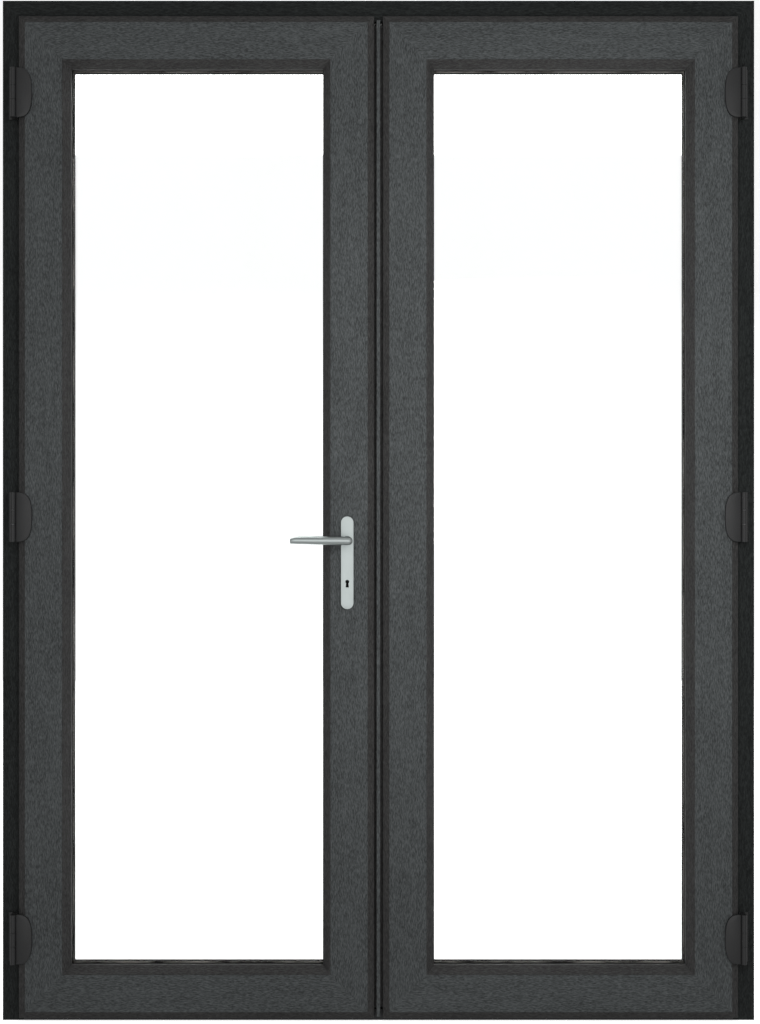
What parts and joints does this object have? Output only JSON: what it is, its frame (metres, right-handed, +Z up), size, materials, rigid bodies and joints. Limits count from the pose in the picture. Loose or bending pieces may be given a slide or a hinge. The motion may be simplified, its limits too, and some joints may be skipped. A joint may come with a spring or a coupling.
{
  "type": "glazed french doors with frame",
  "caption": "Pair of inward-opening glazed french doors in a slim dark frame, with a lever handle on the active leaf, a closing mullion and a low threshold.",
  "frame": {"origin": "underside of the threshold, halfway across the frame and halfway through its depth", "axes": "+Z up the door, +X across it to the right as seen from the room, +Y from the room to the outside"},
  "size_m": [1.6, 0.184, 2.17],
  "materials": {
    "frame_foil": "woodgrain foil, matt",
    "leaf_foil": "woodgrain foil, matt",
    "bead_foil": "woodgrain foil, matt",
    "galvanised_steel": "galvanised",
    "threshold_aluminium": "dark anodised",
    "dark_plastic": "satin",
    "seal_rubber": "matt",
    "hinge_plastic": "smooth satin",
    "bright_steel": "satin",
    "clear_glass": "clear",
    "spacer_metal": "matt",
    "block_plastic": "matt",
    "nylon": "natural",
    "satin_aluminium": "satin anodised"
  },
  "bodies": {
    "frame": {"frame_jamb_left": "frame_foil", "frame_jamb_right": "frame_foil", "frame_head": "frame_foil", "frame_reinforcement": "galvanised_steel", "threshold_inner": "threshold_aluminium", "threshold_thermal_break": "dark_plastic", "threshold_outer": "threshold_aluminium", "threshold_end_blocks": "dark_plastic", "frame_seals": "seal_rubber", "hinge_frame_knuckles": "hinge_plastic", "hinge_pins": "galvanised_steel", "flush_bolt_keeps": "bright_steel"},
    "left_leaf": {"left_hinge_stile": "leaf_foil", "left_lock_stile": "leaf_foil", "left_top_rail": "leaf_foil", "left_bottom_rail": "leaf_foil", "left_reinforcement": "galvanised_steel", "left_glass": "clear_glass", "left_spacer": "spacer_metal", "left_glazing_beads": "bead_foil", "left_glazing_gaskets": "seal_rubber", "left_setting_blocks": "block_plastic", "left_drip_bar": "dark_plastic", "left_flange_seal": "seal_rubber", "left_hinge_flaps": "hinge_plastic", "left_hinge_bushes": "nylon", "left_hinge_covers": "hinge_plastic", "lock_faceplate": "bright_steel", "lock_case": "galvanised_steel", "handle_plate_inner": "satin_aluminium", "handle_plate_outer": "satin_aluminium", "handle_screws": "galvanised_steel"},
    "right_leaf": {"right_hinge_stile": "leaf_foil", "right_meeting_stile": "leaf_foil", "right_top_rail": "leaf_foil", "right_bottom_rail": "leaf_foil", "right_reinforcement": "galvanised_steel", "right_glass": "clear_glass", "right_spacer": "spacer_metal", "right_glazing_beads": "bead_foil", "right_glazing_gaskets": "seal_rubber", "right_setting_blocks": "block_plastic", "right_drip_bar": "dark_plastic", "right_flange_seal": "seal_rubber", "right_hinge_flaps": "hinge_plastic", "right_hinge_bushes": "nylon", "right_hinge_covers": "hinge_plastic", "mullion": "leaf_foil", "mullion_end_caps": "dark_plastic", "mullion_cover": "leaf_foil", "lock_keeps": "bright_steel", "flush_bolt_guides": "nylon"},
    "lever": {"lever_inner": "satin_aluminium", "lever_outer": "satin_aluminium", "lever_spindle": "galvanised_steel"},
    "locking_rail": {"lock_rail": "galvanised_steel"},
    "dead_bolt": {"dead_bolt": "bright_steel"},
    "top_flush_bolt": {"top_flush_bolt": "bright_steel"},
    "bottom_flush_bolt": {"bottom_flush_bolt": "bright_steel"}
  },
  "joints": [
    {"name": "left_leaf_swing", "type": "hinge", "parent": "frame", "child": "left_leaf", "pos_m": [-0.7725, -0.061, 1.07], "axis": [0, 0, 1], "range_deg": [-110, 0]},
    {"name": "right_leaf_swing", "type": "hinge", "parent": "frame", "child": "right_leaf", "pos_m": [0.7725, -0.061, 1.07], "axis": [0, 0, 1], "range_deg": [0, 110]},
    {"name": "lever_turn", "type": "hinge", "parent": "left_leaf", "child": "lever", "pos_m": [-0.066, -0.02, 1.021], "axis": [0, -1, 0], "range_deg": [0, 90]},
    {"name": "rail_slide", "type": "slide", "parent": "left_leaf", "child": "locking_rail", "axis": [0, 0, 1], "range_m": [0, 0.018]},
    {"name": "dead_bolt_slide", "type": "slide", "parent": "left_leaf", "child": "dead_bolt", "axis": [1, 0, 0], "range_m": [0, 0.018]},
    {"name": "top_bolt_slide", "type": "slide", "parent": "right_leaf", "child": "top_flush_bolt", "axis": [0, 0, 1], "range_m": [0, 0.014]},
    {"name": "bottom_bolt_slide", "type": "slide", "parent": "right_leaf", "child": "bottom_flush_bolt", "axis": [0, 0, -1], "range_m": [0, 0.014]}
  ],
  "couplings": [
    {"joint": "right_leaf_swing", "follows": "left_leaf_swing", "ratio": -0.9},
    {"joint": "rail_slide", "follows": "lever_turn", "m_per_rad": 0.011459}
  ]
}
